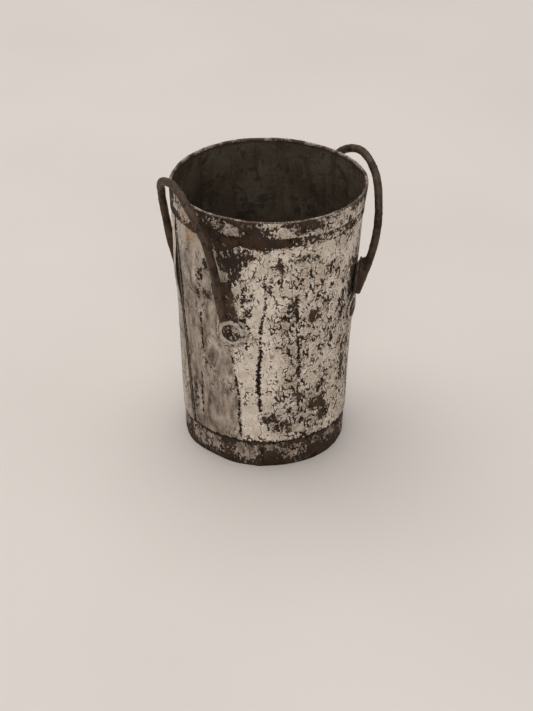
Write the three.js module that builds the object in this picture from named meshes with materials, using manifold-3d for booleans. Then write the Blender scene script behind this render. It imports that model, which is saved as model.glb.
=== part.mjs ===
// A small hand-made sheet-metal milk pail: a tapered wall rolled from one sheet with a lapped
// side seam, a folded band round the rim, a foot band inside the lower edge, a flanged base,
// and two wrought wire handles riveted to the wall.
// Millimetres, +Z up. The origin is the centre of the base at the height the foot stands on.
// The handles stand on the +X and -X sides.

import * as THREE from "three";
import { mergeVertices } from "three/addons/utils/BufferGeometryUtils.js";
import Module from "manifold-3d";

const wasm = await Module();
wasm.setup();

// ---------------------------------------------------------------- driving dimensions

const PAIL_HEIGHT = 177;

const SHEET = 0.45;                // tinplate thickness of the wall and the rim band
const GAP = 0.25;                  // clearance kept between touching sheets
const STACK_GAP = 0.1;             // clearance between the plates stacked under a rivet's head

const WALL_BOTTOM = 18.7;          // height of the wall's lower edge
const WALL_BOTTOM_RADIUS = 52.5;   // outer radius there
const WALL_TAPER = 0.0435;         // growth of radius per millimetre of height
const WALL_TOP_GAP = 0.65;         // from the wall's top edge up to the rim band's fold
const WALL_COLUMNS = 60;
const WALL_ROW = 60;               // height of the row of corners between the foot and the seam's gape

const SEAM_EDGE_BOTTOM = 188;      // azimuth of the seam's visible edge at the wall's foot, degrees
const SEAM_EDGE_TOP = 170;         // and at its top: the seam leans
const SEAM_OVERLAP = 6;            // width of the inner flap under the outer lap
const SEAM_RAMP = 18;              // length over which the outer lap climbs over the flap
const SEAM_RUNOUT = 11;            // the lap settles over this height below the rim band
const SEAM_SETTLED = 1;            // and lies flat this far below it
const SEAM_CORNER_CUT = 1.5;       // height over which the flap's top corner is cut away
const SEAM_SLIT = 0.4;             // between the two edges where they only meet
const SEAM_GAPE = 1.3;             // how far the lap has sprung open at its widest
const SEAM_GAPE_HEIGHT = 122;      // height of the widest point
const SEAM_GAPE_REACH = 24;        // half the height of the sprung stretch

const BAND_BOTTOM = 160;           // lower edge of the folded rim band
const BAND_LIP = 1.5;              // depth of the rim band's inner lip below its rolled top
const BAND_SEGMENTS = 60;
const FOLD_STEPS = 5;              // facets of a bend, round its outer face
const INNER_FOLD_STEPS = 3;        // and round its inner face

const FOOT_TOP = 26;               // upper edge of the foot band, inside the wall
const FOOT_RADIUS = 51.3;          // outer radius where it stands
const FOOT_THICKNESS = 0.8;
const FOOT_JOINT_AZIMUTH = -115.5; // where the foot band's ends meet, degrees
const FOOT_JOINT_GAP = 0.4;

const BASE_TOP = 7;                // height of the base sheet's upper face
const BASE_SHEET = 0.5;
const BASE_FLANGE = 5;             // depth of the turned-down flange
const BASE_BEND = 1;               // outer radius of the bend
const BEND_STEPS = 3;
const BASE_FILLET = 1;             // solder between the base and the foot band
const FILLET_HOLLOW = 0.35;        // how near the fillet's face comes to its corner, as a share
const BEAD_HALF_WIDTH = 1.5;       // solder along the side seam, inside
const BEAD_HEIGHT = 0.8;
const BEAD_SHOULDER_WIDTH = 0.6;   // the bead's rounded shoulders, as shares of its half width
const BEAD_SHOULDER_HEIGHT = 0.7;  // and of its height
const BEAD_END_GAP = 1.5;          // it stops this short of the foot band, and of the lap's top

const WIRE_RADIUS = 2.4;           // handle wire, 4.8 mm across
const WIRE_END_HALF_THICKNESS = 1.6;
const WIRE_BEATEN = 22;            // length over which each end of the wire is beaten thinner
const LUG_TOP = 132.5;             // upper edge of the flat lug that each leg is welded to
const LUG_SLANT = 1.5;             // that edge's outer end is higher, and its inner end lower
const LUG_TOP_AZIMUTH = 36;        // middle of that edge, from the handle's side: the lug leans
const LUG_HALF_WIDTH = 6.9;
const LUG_THICKNESS = 0.5;
const WELD_FULL = 24;              // the weld fills the space under the wire this far from its end,
const WELD_START = 27;             // and runs out here, at the lug's top
const WIRE_SIDES = 12;
const HANDLE_STEPS = 46;
const PLATE_RADIUS = 11;           // round backing plate between the lug and the wall
const PLATE_THICKNESS = 0.35;
const WASHER_RADIUS = 8.7;         // round washer over the lug's end
const WASHER_THICKNESS = 0.4;

const RIVET_AZIMUTH = 44;          // either side of a handle's middle, degrees
const RIVET_HEIGHT = 98.5;
const RIVET_HEAD_RADIUS = 6;
const RIVET_HEAD_HEIGHT = 0.6;
const DOME_STEPS = 4;
const RIVET_SHANK_RADIUS = 2;
const RIVET_TAIL_RADIUS = 4;
const RIVET_TAIL_FLAT = 0.85;      // flat share of the tail's radius
const RIVET_TAIL_HEIGHT = 1;
const RIVET_HOLE_RADIUS = 2.3;
const RIVET_SIDES = 18;
const DRILL_LENGTH = 24;
const HOLE_SIDES = 12;
const DISC_SIDES = 24;
const DISC_STEPS = 4;              // facets of a plate's curve round the wall
const DISC_MARGIN = 1.15;          // size of the sheet a round plate is cut from, to the plate's

// The handle's centre line, from the middle of its arch to the end of one leg: azimuth from the
// handle's own side in degrees, height, and distance out from the wall's surface.
const HANDLE_ROUTE = [
  { azimuth: 0, height: 182.9, standoff: 3.7 },
  { azimuth: 18.3, height: 176.3, standoff: 5.8 },
  { azimuth: 30.6, height: 161.9, standoff: 8.4 },
  { azimuth: 36.6, height: 140.4, standoff: 8.1 },
  { azimuth: 37.2, height: 126.2, standoff: 5.6 },
  { azimuth: 38.4, height: 114.6, standoff: 3.3 },
  { azimuth: 39.4, height: 106.5, standoff: 2.2 },
];

const MERGE_DISTANCE = 1e-4;       // corners closer than this are one corner

// ---------------------------------------------------------------- materials

const paintedTin = { color: 0xaaa094, roughness: 0.65, metalness: 0.15 };
const rustedTin = { color: 0x5a4a3e, roughness: 0.7, metalness: 0.4 };
const bareTin = { color: 0x4a443e, roughness: 0.6, metalness: 0.6 };
const wroughtIron = { color: 0x3c322b, roughness: 0.7, metalness: 0.6 };
const solder = { color: 0x77726a, roughness: 0.5, metalness: 0.7 };

// ---------------------------------------------------------------- helpers

const radians = THREE.MathUtils.degToRad;
const lerp = THREE.MathUtils.lerp;
const smoothstep = THREE.MathUtils.smoothstep;

// Outer radius of the wall at a height.
function wallRadius(z) {
  return WALL_BOTTOM_RADIUS + WALL_TAPER * (z - WALL_BOTTOM);
}

// The point at a radius, an azimuth in radians and a height.
function polar(radius, azimuth, z) {
  return new THREE.Vector3(radius * Math.cos(azimuth), radius * Math.sin(azimuth), z);
}

// The wall's outward normal at an azimuth in radians.
function wallNormal(azimuth) {
  return polar(1, azimuth, -WALL_TAPER).normalize();
}

function geometryFrom(points, triangles) {
  const geometry = new THREE.BufferGeometry();
  geometry.setAttribute("position", new THREE.Float32BufferAttribute(points.flatMap((p) => p.toArray()), 3));
  geometry.setIndex(triangles);
  return geometry;
}

// A closed sheet from columns that run in order of growing azimuth. Each column is
// { outer, inner }, two lists of points from the bottom to the top.
function sheetGeometry(columns) {
  const rows = columns[0].outer.length;
  const points = columns.flatMap((column) => [...column.outer, ...column.inner]);
  const outer = (i, k) => i * 2 * rows + k;
  const inner = (i, k) => i * 2 * rows + rows + k;
  const triangles = [];
  const quad = (a, b, c, d) => triangles.push(a, b, c, a, c, d);
  const last = columns.length - 1;
  for (let i = 0; i < last; i += 1) {
    for (let k = 0; k < rows - 1; k += 1) {
      quad(outer(i, k), outer(i + 1, k), outer(i + 1, k + 1), outer(i, k + 1));
      quad(inner(i, k), inner(i, k + 1), inner(i + 1, k + 1), inner(i + 1, k));
    }
    quad(inner(i, 0), inner(i + 1, 0), outer(i + 1, 0), outer(i, 0));
    quad(outer(i, rows - 1), outer(i + 1, rows - 1), inner(i + 1, rows - 1), inner(i, rows - 1));
  }
  for (let k = 0; k < rows - 1; k += 1) {
    quad(inner(0, k), outer(0, k), outer(0, k + 1), inner(0, k + 1));
    quad(outer(last, k), inner(last, k), inner(last, k + 1), outer(last, k + 1));
  }
  return geometryFrom(points, triangles);
}

// A closed solid through a row of convex closed sections, with a fan on each end. The sections
// turn counter-clockwise as seen from the end that the row runs towards.
function loftGeometry(sections) {
  const count = sections[0].length;
  const points = sections.flat();
  const triangles = [];
  for (let i = 0; i < sections.length - 1; i += 1) {
    for (let k = 0; k < count; k += 1) {
      const a = i * count + k;
      const b = i * count + ((k + 1) % count);
      triangles.push(a, b, b + count, a, b + count, a + count);
    }
  }
  const finish = (sections.length - 1) * count;
  for (let k = 1; k < count - 1; k += 1) {
    triangles.push(0, k + 1, k);
    triangles.push(finish, finish + k, finish + k + 1);
  }
  return geometryFrom(points, triangles);
}

// A ring or disc turned about the Z axis from [radius, height] points. The profile runs
// counter-clockwise, with radius to the right and height up.
function turned(profile, segments) {
  const geometry = new THREE.LatheGeometry(profile.map(([r, z]) => new THREE.Vector2(r, z)), segments);
  return geometry.rotateX(Math.PI / 2);
}

// [radius, height] points along an arc between two angles in degrees.
function arc(centreR, centreZ, radius, from, to, steps) {
  const points = [];
  for (let i = 0; i <= steps; i += 1) {
    const angle = radians(lerp(from, to, i / steps));
    points.push([centreR + radius * Math.cos(angle), centreZ + radius * Math.sin(angle)]);
  }
  return points;
}

function toSolid(geometry) {
  const bare = new THREE.BufferGeometry();
  bare.setAttribute("position", geometry.getAttribute("position"));
  bare.setIndex(geometry.getIndex());
  const merged = mergeVertices(bare, MERGE_DISTANCE);
  return new wasm.Manifold(new wasm.Mesh({
    numProp: 3,
    vertProperties: new Float32Array(merged.getAttribute("position").array),
    triVerts: new Uint32Array(merged.getIndex().array),
  }));
}

function fromSolid(solid) {
  const mesh = solid.getMesh();
  const geometry = new THREE.BufferGeometry();
  geometry.setAttribute("position", new THREE.Float32BufferAttribute(mesh.vertProperties, 3));
  geometry.setIndex(new THREE.Uint32BufferAttribute(mesh.triVerts, 1));
  return geometry;
}

// Where a rivet stands: its point on the wall's outer surface, and its axis.
function rivetSeat(azimuth) {
  return { at: polar(wallRadius(RIVET_HEIGHT), azimuth, RIVET_HEIGHT), axis: wallNormal(azimuth) };
}

// Turns a geometry made about +Y so that it stands on a rivet's seat, +Y pointing outwards.
function placeOnSeat(geometry, seat) {
  const turn = new THREE.Quaternion().setFromUnitVectors(new THREE.Vector3(0, 1, 0), seat.axis);
  return geometry.applyQuaternion(turn).translate(seat.at.x, seat.at.y, seat.at.z);
}

function rivetBar(seat, radius, segments) {
  return toSolid(placeOnSeat(new THREE.CylinderGeometry(radius, radius, DRILL_LENGTH, segments), seat));
}

// A round plate that follows the wall's curve, its faces at two distances out from the wall.
function curvedDisc(seat, azimuth, radius, near, far) {
  const reach = DISC_MARGIN * radius;
  const swing = reach / wallRadius(RIVET_HEIGHT);
  const heights = [RIVET_HEIGHT - reach, RIVET_HEIGHT + reach];
  const columns = [];
  for (let i = 0; i <= DISC_STEPS; i += 1) {
    const angle = azimuth + lerp(-swing, swing, i / DISC_STEPS);
    columns.push({
      outer: heights.map((z) => polar(wallRadius(z) + far, angle, z)),
      inner: heights.map((z) => polar(wallRadius(z) + near, angle, z)),
    });
  }
  return toSolid(sheetGeometry(columns)).intersect(rivetBar(seat, radius, DISC_SIDES));
}

// ---------------------------------------------------------------- wall

const RIVET_AZIMUTHS = {
  right_front: radians(-RIVET_AZIMUTH),
  right_rear: radians(RIVET_AZIMUTH),
  left_front: radians(180 + RIVET_AZIMUTH),
  left_rear: radians(180 - RIVET_AZIMUTH),
};

const WALL_TOP = PAIL_HEIGHT - SHEET - WALL_TOP_GAP;
const LAP_TOP = BAND_BOTTOM - SEAM_RUNOUT;

// Azimuth of the seam's visible edge at a height, in radians.
function seamEdge(z) {
  return radians(lerp(SEAM_EDGE_BOTTOM, SEAM_EDGE_TOP, (z - WALL_BOTTOM) / (WALL_TOP - WALL_BOTTOM)));
}

// How far the outer lap is raised off the wall's own cone, at a distance back from its edge.
function lapLift(fromEdge, z) {
  const climb = 1 - smoothstep(fromEdge, 1.25 * SEAM_OVERLAP, SEAM_RAMP);
  const settle = 1 - smoothstep(z, LAP_TOP, BAND_BOTTOM - SEAM_SETTLED);
  const away = Math.min(1, Math.abs(z - SEAM_GAPE_HEIGHT) / SEAM_GAPE_REACH);
  const gape = SEAM_GAPE * (1 - smoothstep(away, 0, 1)) * (1 - smoothstep(fromEdge, 0, SEAM_RAMP));
  return (SHEET + GAP) * climb * settle + gape;
}

// How far the inner flap reaches past the seam's visible edge. Its top corner is cut away, so
// that under the rim band the two edges only meet, a slit apart.
function flapReach(z) {
  return z > LAP_TOP ? -SEAM_SLIT : SEAM_OVERLAP;
}

function wall() {
  const gapeHeights = [-1, -0.5, 0, 0.5].map((share) => SEAM_GAPE_HEIGHT + share * SEAM_GAPE_REACH);
  const lapHeights = [LAP_TOP, LAP_TOP + SEAM_CORNER_CUT, BAND_BOTTOM - SEAM_SETTLED];
  const heights = [WALL_BOTTOM, WALL_ROW, ...gapeHeights, ...lapHeights, WALL_TOP];
  // Distances back from the seam's edge, close together where the lap climbs.
  const fromEdges = [SEAM_RAMP, 14, 11, 7.5, 4, 0];
  const column = (angleAt, fromEdge) => ({
    outer: heights.map((z) => polar(wallRadius(z) + lapLift(fromEdge, z), angleAt(z), z)),
    inner: heights.map((z) => polar(wallRadius(z) - SHEET + lapLift(fromEdge, z), angleAt(z), z)),
  });
  const columns = [];
  for (let i = 0; i < WALL_COLUMNS; i += 1) {
    const share = i / WALL_COLUMNS;
    const start = (z) => seamEdge(z) - flapReach(z) / wallRadius(z);
    const finish = (z) => seamEdge(z) + 2 * Math.PI - SEAM_RAMP / wallRadius(z);
    columns.push(column((z) => lerp(start(z), finish(z), share), Infinity));
  }
  for (const fromEdge of fromEdges) {
    const angleAt = (z) => seamEdge(z) + 2 * Math.PI - fromEdge / wallRadius(z);
    columns.push(column(angleAt, fromEdge));
  }
  let solid = toSolid(sheetGeometry(columns));
  for (const azimuth of Object.values(RIVET_AZIMUTHS)) {
    solid = solid.subtract(rivetBar(rivetSeat(azimuth), RIVET_HOLE_RADIUS, HOLE_SIDES));
  }
  return fromSolid(solid);
}

// ---------------------------------------------------------------- rim band

function rimBand() {
  const outside = 0.5 * (3 * SHEET + 2 * GAP);
  const inside = outside - SHEET;
  const foldZ = PAIL_HEIGHT - outside;
  const wallMiddle = wallRadius(foldZ) - 0.5 * SHEET;
  const skirtInside = wallRadius(BAND_BOTTOM) + GAP;
  return turned([
    [skirtInside, BAND_BOTTOM],
    [skirtInside + SHEET, BAND_BOTTOM],
    ...arc(wallMiddle, foldZ, outside, 0, 180, FOLD_STEPS),
    [wallMiddle - outside, foldZ - BAND_LIP],
    [wallMiddle - inside, foldZ - BAND_LIP],
    ...arc(wallMiddle, foldZ, inside, 180, 0, INNER_FOLD_STEPS),
    [skirtInside, BAND_BOTTOM],
  ], BAND_SEGMENTS);
}

// ---------------------------------------------------------------- foot band, base and solder

// Outer radius of the foot band at a height: it follows the wall's inner face where they overlap.
function footRadius(z) {
  const inWall = wallRadius(Math.max(z, WALL_BOTTOM)) - SHEET - GAP;
  return z > WALL_BOTTOM ? inWall : lerp(FOOT_RADIUS, inWall, z / WALL_BOTTOM);
}

function footBand() {
  const heights = [0, WALL_BOTTOM, FOOT_TOP];
  const halfGap = 0.5 * FOOT_JOINT_GAP / FOOT_RADIUS;
  const start = radians(FOOT_JOINT_AZIMUTH) + halfGap;
  const columns = [];
  for (let i = 0; i <= BAND_SEGMENTS; i += 1) {
    const angle = start + (i / BAND_SEGMENTS) * (2 * Math.PI - 2 * halfGap);
    columns.push({
      outer: heights.map((z) => polar(footRadius(z), angle, z)),
      inner: heights.map((z) => polar(footRadius(z) - FOOT_THICKNESS, angle, z)),
    });
  }
  return sheetGeometry(columns);
}

const BASE_RADIUS = FOOT_RADIUS - FOOT_THICKNESS - GAP;

function baseDisc() {
  const bendR = BASE_RADIUS - BASE_BEND;
  const bendZ = BASE_TOP - BASE_BEND;
  return turned([
    [0, BASE_TOP - BASE_SHEET],
    ...arc(bendR, bendZ, BASE_BEND - BASE_SHEET, 90, 0, BEND_STEPS),
    [BASE_RADIUS - BASE_SHEET, BASE_TOP - BASE_FLANGE],
    [BASE_RADIUS, BASE_TOP - BASE_FLANGE],
    ...arc(bendR, bendZ, BASE_BEND, 0, 90, BEND_STEPS),
    [0, BASE_TOP],
  ], BAND_SEGMENTS);
}

function baseSolder() {
  const bottom = BASE_TOP + GAP;
  const outer = footRadius(bottom) - FOOT_THICKNESS - GAP;
  return turned([
    [outer - BASE_FILLET, bottom],
    [outer, bottom],
    [outer, bottom + BASE_FILLET],
    [outer - FILLET_HOLLOW * BASE_FILLET, bottom + FILLET_HOLLOW * BASE_FILLET],
    [outer - BASE_FILLET, bottom],
  ], BAND_SEGMENTS);
}

// A low bead of solder inside the pail, over the free edge of the inner flap.
function seamSolder() {
  const bottom = FOOT_TOP + BEAD_END_GAP;
  const top = LAP_TOP - BEAD_END_GAP;
  const shoulder = BEAD_SHOULDER_WIDTH * BEAD_HALF_WIDTH;
  const steps = 10;
  const sections = [];
  for (let i = 0; i <= steps; i += 1) {
    const z = lerp(bottom, top, i / steps);
    const radius = wallRadius(z) - SHEET - GAP;
    const middle = seamEdge(z) - SEAM_OVERLAP / wallRadius(z);
    const point = (across, depth) => polar(radius - depth, middle + across / radius, z);
    sections.push([
      point(-BEAD_HALF_WIDTH, 0),
      point(0, 0),
      point(BEAD_HALF_WIDTH, 0),
      point(shoulder, BEAD_SHOULDER_HEIGHT * BEAD_HEIGHT),
      point(0, BEAD_HEIGHT),
      point(-shoulder, BEAD_SHOULDER_HEIGHT * BEAD_HEIGHT),
    ]);
  }
  return loftGeometry(sections);
}

// ---------------------------------------------------------------- handles

// Distances out from the wall of the plates stacked under a rivet's head.
const PLATE_NEAR = STACK_GAP;
const LUG_NEAR = PLATE_NEAR + PLATE_THICKNESS + STACK_GAP;
const WASHER_NEAR = LUG_NEAR + LUG_THICKNESS + STACK_GAP;
const HEAD_NEAR = WASHER_NEAR + WASHER_THICKNESS + STACK_GAP;

// One handle's centre line, foot to foot, on the side that faces the given azimuth.
function handleCurve(side) {
  const point = ({ azimuth, height, standoff }, sign) =>
    polar(wallRadius(height) + standoff, side + sign * radians(azimuth), height);
  const legA = HANDLE_ROUTE.slice(1).reverse().map((p) => point(p, -1));
  const legB = HANDLE_ROUTE.map((p) => point(p, 1));
  return new THREE.CatmullRomCurve3([...legA, ...legB], false, "centripetal");
}

// The wire's section at a distance from its end. Near the end it is thinner, and the weld under
// it fills the space down to the lug.
function wireSection(centre, tangent, fromEnd) {
  const thin = 1 - smoothstep(fromEnd, 0, WIRE_BEATEN);
  const halfThickness = lerp(WIRE_RADIUS, WIRE_END_HALF_THICKNESS, thin);
  const weld = 1 - smoothstep(fromEnd, WELD_FULL, WELD_START);
  const out = wallNormal(Math.atan2(centre.y, centre.x));
  const standoff = Math.hypot(centre.x, centre.y) - wallRadius(centre.z);
  const up = out.clone().addScaledVector(tangent, -out.dot(tangent)).normalize();
  const across = new THREE.Vector3().crossVectors(up, tangent);
  const toLug = (standoff - LUG_NEAR) / up.dot(out);
  const section = [];
  for (let k = 0; k < WIRE_SIDES; k += 1) {
    const angle = 2 * Math.PI * (k + 0.5) / WIRE_SIDES;
    const round = halfThickness * Math.cos(angle);
    const height = round < 0 ? lerp(round, -toLug, weld) : round;
    section.push(centre.clone()
      .addScaledVector(up, height)
      .addScaledVector(across, -WIRE_RADIUS * Math.sin(angle)));
  }
  return section;
}

// The flat lug under one end of the wire: a leaning strip that follows the wall, with a round
// end about the rivet. The azimuth is the rivet's, the lean is how far the strip's top is from it.
function lug(azimuth, lean) {
  const middle = (z) => azimuth + lean * (z - RIVET_HEIGHT) / (LUG_TOP - RIVET_HEIGHT);
  const rows = 3;
  const steps = 5;
  const columns = [];
  for (let i = 0; i <= steps; i += 1) {
    const share = lerp(-1, 1, i / steps);
    const across = share * LUG_HALF_WIDTH;
    const top = LUG_TOP - Math.sign(lean) * share * LUG_SLANT;
    const heights = Array.from({ length: rows + 1 }, (_, k) => lerp(RIVET_HEIGHT, top, k / rows));
    const point = (z, out) => polar(wallRadius(z) + out, middle(z) + across / wallRadius(z), z);
    columns.push({
      outer: heights.map((z) => point(z, LUG_NEAR + LUG_THICKNESS)),
      inner: heights.map((z) => point(z, LUG_NEAR)),
    });
  }
  const seat = rivetSeat(azimuth);
  const end = curvedDisc(seat, azimuth, LUG_HALF_WIDTH, LUG_NEAR, LUG_NEAR + LUG_THICKNESS);
  return toSolid(sheetGeometry(columns)).add(end).subtract(rivetBar(seat, RIVET_HOLE_RADIUS, HOLE_SIDES));
}

function handle(side) {
  const curve = handleCurve(side);
  const length = curve.getLength();
  const sections = [];
  for (let i = 0; i <= HANDLE_STEPS; i += 1) {
    const share = i / HANDLE_STEPS;
    const fromEnd = length * Math.min(share, 1 - share);
    sections.push(wireSection(curve.getPointAt(share), curve.getTangentAt(share), fromEnd));
  }
  const lean = radians(RIVET_AZIMUTH - LUG_TOP_AZIMUTH);
  const lugA = lug(side - radians(RIVET_AZIMUTH), lean);
  const lugB = lug(side + radians(RIVET_AZIMUTH), -lean);
  return fromSolid(toSolid(loftGeometry(sections)).add(lugA).add(lugB));
}

// A round plate on a rivet, its faces at two distances out from the wall.
function rivetedDisc(azimuth, radius, near, far) {
  const seat = rivetSeat(azimuth);
  const disc = curvedDisc(seat, azimuth, radius, near, far);
  return fromSolid(disc.subtract(rivetBar(seat, RIVET_HOLE_RADIUS, HOLE_SIDES)));
}

// A rivet with a low domed head outside the washer and a flat beaten tail inside the wall.
function rivet(azimuth) {
  const hollow = RIVET_TAIL_RADIUS ** 2 / (2 * wallRadius(RIVET_HEIGHT));
  const tailTop = -SHEET - GAP - hollow;
  const domeRadius = (RIVET_HEAD_RADIUS ** 2 + RIVET_HEAD_HEIGHT ** 2) / (2 * RIVET_HEAD_HEIGHT);
  const domeCentre = HEAD_NEAR + RIVET_HEAD_HEIGHT - domeRadius;
  const edgeAngle = THREE.MathUtils.radToDeg(Math.asin((HEAD_NEAR - domeCentre) / domeRadius));
  const profile = [
    [0, tailTop - RIVET_TAIL_HEIGHT],
    [RIVET_TAIL_FLAT * RIVET_TAIL_RADIUS, tailTop - RIVET_TAIL_HEIGHT],
    [RIVET_TAIL_RADIUS, tailTop],
    [RIVET_SHANK_RADIUS, tailTop],
    [RIVET_SHANK_RADIUS, HEAD_NEAR],
    ...arc(0, domeCentre, domeRadius, edgeAngle, 90, DOME_STEPS),
  ];
  profile[profile.length - 1][0] = 0;
  const geometry = new THREE.LatheGeometry(profile.map(([r, y]) => new THREE.Vector2(r, y)), RIVET_SIDES);
  return placeOnSeat(geometry, rivetSeat(azimuth));
}

// ---------------------------------------------------------------- the pail

const pail = new THREE.Group();

function addPiece(name, geometry, finish) {
  const piece = new THREE.Mesh(geometry, new THREE.MeshStandardMaterial(finish));
  piece.name = name;
  pail.add(piece);
}

addPiece("wall", wall(), paintedTin);
addPiece("rim_band", rimBand(), rustedTin);
addPiece("foot_band", footBand(), rustedTin);
addPiece("base_disc", baseDisc(), bareTin);
addPiece("base_solder", baseSolder(), solder);
addPiece("side_seam_solder", seamSolder(), solder);

addPiece("handle_right", handle(0), wroughtIron);
addPiece("handle_left", handle(Math.PI), wroughtIron);

for (const [corner, azimuth] of Object.entries(RIVET_AZIMUTHS)) {
  const plate = rivetedDisc(azimuth, PLATE_RADIUS, PLATE_NEAR, PLATE_NEAR + PLATE_THICKNESS);
  const washer = rivetedDisc(azimuth, WASHER_RADIUS, WASHER_NEAR, WASHER_NEAR + WASHER_THICKNESS);
  addPiece(`backing_plate_${corner}`, plate, paintedTin);
  addPiece(`washer_${corner}`, washer, paintedTin);
  addPiece(`rivet_${corner}`, rivet(azimuth), wroughtIron);
}

export default pail;
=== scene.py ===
import bpy
import numpy as np
from mathutils import Matrix, Vector


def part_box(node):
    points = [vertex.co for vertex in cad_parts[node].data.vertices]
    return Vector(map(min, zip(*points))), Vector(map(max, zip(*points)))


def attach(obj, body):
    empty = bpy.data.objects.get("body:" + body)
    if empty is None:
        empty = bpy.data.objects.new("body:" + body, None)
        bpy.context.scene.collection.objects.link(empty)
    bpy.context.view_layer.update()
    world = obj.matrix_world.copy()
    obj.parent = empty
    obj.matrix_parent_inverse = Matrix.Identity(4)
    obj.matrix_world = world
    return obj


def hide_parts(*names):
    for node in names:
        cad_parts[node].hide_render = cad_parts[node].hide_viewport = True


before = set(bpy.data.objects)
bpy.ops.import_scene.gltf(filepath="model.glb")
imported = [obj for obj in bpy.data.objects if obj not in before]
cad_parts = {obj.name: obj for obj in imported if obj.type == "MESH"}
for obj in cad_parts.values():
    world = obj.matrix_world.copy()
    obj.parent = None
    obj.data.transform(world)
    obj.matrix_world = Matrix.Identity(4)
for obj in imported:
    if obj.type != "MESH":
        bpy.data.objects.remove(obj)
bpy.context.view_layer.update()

MM = 0.001

# ---- sizes, in millimetres


def cad_box(node):
    """Lowest and highest corner of a CAD node, in millimetres."""
    low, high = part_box(node)
    return np.array(low) / MM, np.array(high) / MM


WALL_LOW, WALL_HIGH = cad_box("wall")
BAND_LOW, BAND_HIGH = cad_box("rim_band")
_, FOOT_HIGH = cad_box("foot_band")
BASE_LOW, BASE_HIGH = cad_box("base_disc")

HEIGHT = BAND_HIGH[2]
WALL_BOTTOM, WALL_TOP = WALL_LOW[2], WALL_HIGH[2]
BAND_BOTTOM = BAND_LOW[2]
TAPER = 0.0435  # growth of the wall's radius per millimetre of height
WALL_TOP_RADIUS = WALL_HIGH[1]
SHEET = 0.45  # tinplate
BAND_PROUD = 0.7  # how far the rim band's skirt stands off the wall
FOLD_RADIUS = 0.5 * (3 * SHEET + 0.5)
BAND_JOINT_AZIMUTH = 75  # where the rim band's ends meet, at the back
FOOT_THICKNESS = 0.8
FOOT_PLAY = 0.2  # between the wall and the foot band inside it
FOOT_DRAW_IN = 0.45  # how much narrower the foot band is at the floor
FOOT_RADIUS = FOOT_HIGH[0] - TAPER * (FOOT_HIGH[2] - WALL_BOTTOM) - FOOT_DRAW_IN
FOOT_JOINT_AZIMUTH = 244.5

SEAM_BOTTOM_AZIMUTH = 188  # the side seam's visible edge at the wall's foot and top
SEAM_TOP_AZIMUTH = 170
SEAM_OVERLAP = 6
SEAM_RAMP = 18  # arc over which the outer lap climbs over the inner one
LAP_TOP = BAND_BOTTOM - 11  # above this the sheet's ends only meet
SEAM_GAPE_HEIGHT = 122  # where the outer lap has sprung open

WIRE_RADIUS = 2.4
SKIN_LOSS = 0.12  # what remeshing takes off the wire's radius
WIRE_END_HALF_THICKNESS = 1.6
WIRE_BEATEN = 22  # length of the hammered stretch at each end of the wire
WELD_FULL = 23.5  # distances from the wire's end at which the weld reaches
WELD_START = 27.5  # the lug, and at which it begins
LUG_TOP = 132.5
LUG_SLANT = 1.5
LUG_TOP_AZIMUTH = 36
LUG_HALF_WIDTH = 6.9
PLATE_RADIUS = 11
WASHER_RADIUS = 8.7
RIVET_HEAD_RADIUS = 6
# distances off the wall of the plates stacked under a rivet's head
PLATE_NEAR, PLATE_FAR = 0.1, 0.45
LUG_NEAR, LUG_FAR = 0.55, 1.05
WASHER_NEAR, WASHER_FAR = 1.15, 1.55
HEAD_NEAR, HEAD_FAR = 1.6, 2.25
RIVET_AZIMUTH = 44
RIVET_HEIGHT = 98.5
LUG_BOTTOM = RIVET_HEIGHT - 4  # hidden under the washer

# The handle's centre line: azimuth from the handle's side, height, distance off the wall.
HANDLE_ROUTE = [
    (0, 182.9, 3.7),
    (18.3, 176.3, 5.8),
    (30.6, 161.9, 8.4),
    (36.6, 140.4, 8.1),
    (37.2, 126.2, 5.6),
    (38.4, 114.6, 3.3),
    (39.4, 106.5, 2.2),
]


def wall_radius(z):
    """Outer radius of the wall's cone at a height."""
    return WALL_TOP_RADIUS - TAPER * (WALL_TOP - z)


def seam_edge(z):
    """Azimuth of the seam's visible edge at a height, in degrees."""
    share = (z - WALL_BOTTOM) / (WALL_TOP - WALL_BOTTOM)
    return SEAM_BOTTOM_AZIMUTH + (SEAM_TOP_AZIMUTH - SEAM_BOTTOM_AZIMUTH) * share


def smoothstep(value, low, high):
    """A smooth step from 0 at a low value to 1 at a high one."""
    t = np.clip((value - low) / (high - low), 0, 1)
    return t * t * (3 - 2 * t)


def bell(value, width):
    """A smooth hump that is 1 at zero."""
    return np.exp(-((value / width) ** 2))


def from_azimuth(azimuth, middle):
    """Degrees from a middle azimuth, between -180 and 180."""
    return (azimuth - middle + 180) % 360 - 180


# ---- noise for shapes


def lattice(ix, iy, iz, seed):
    """One repeatable random number from 0 to 1 for each lattice point."""
    n = ix * 374761393 + iy * 668265263 + iz * 2147483647 + seed * 1274126177
    n = (n ^ (n >> 13)) * 1274126177
    n = n & 0x7FFFFFFF
    return ((n ^ (n >> 16)) & 0xFFFF) / 65535


def noise(points, size, seed):
    """Smooth noise from -1 to 1 with features of the given size, at an array of points."""
    p = np.asarray(points, float) / size
    cell = np.floor(p).astype(np.int64)
    f = p - cell
    f = f * f * (3 - 2 * f)
    total = 0
    for corner in np.ndindex(2, 2, 2):
        weight = np.prod(np.abs(1 - np.array(corner) - f), axis=-1)
        total = total + weight * lattice(*np.moveaxis(cell + corner, -1, 0), seed)
    return 2 * total - 1


def rough(points, *layers):
    """A sum of noises, each given as its depth, the size of its features and its seed."""
    return sum(depth * noise(points, size, seed) for depth, size, seed in layers)


# ---- hand-made shape

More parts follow.
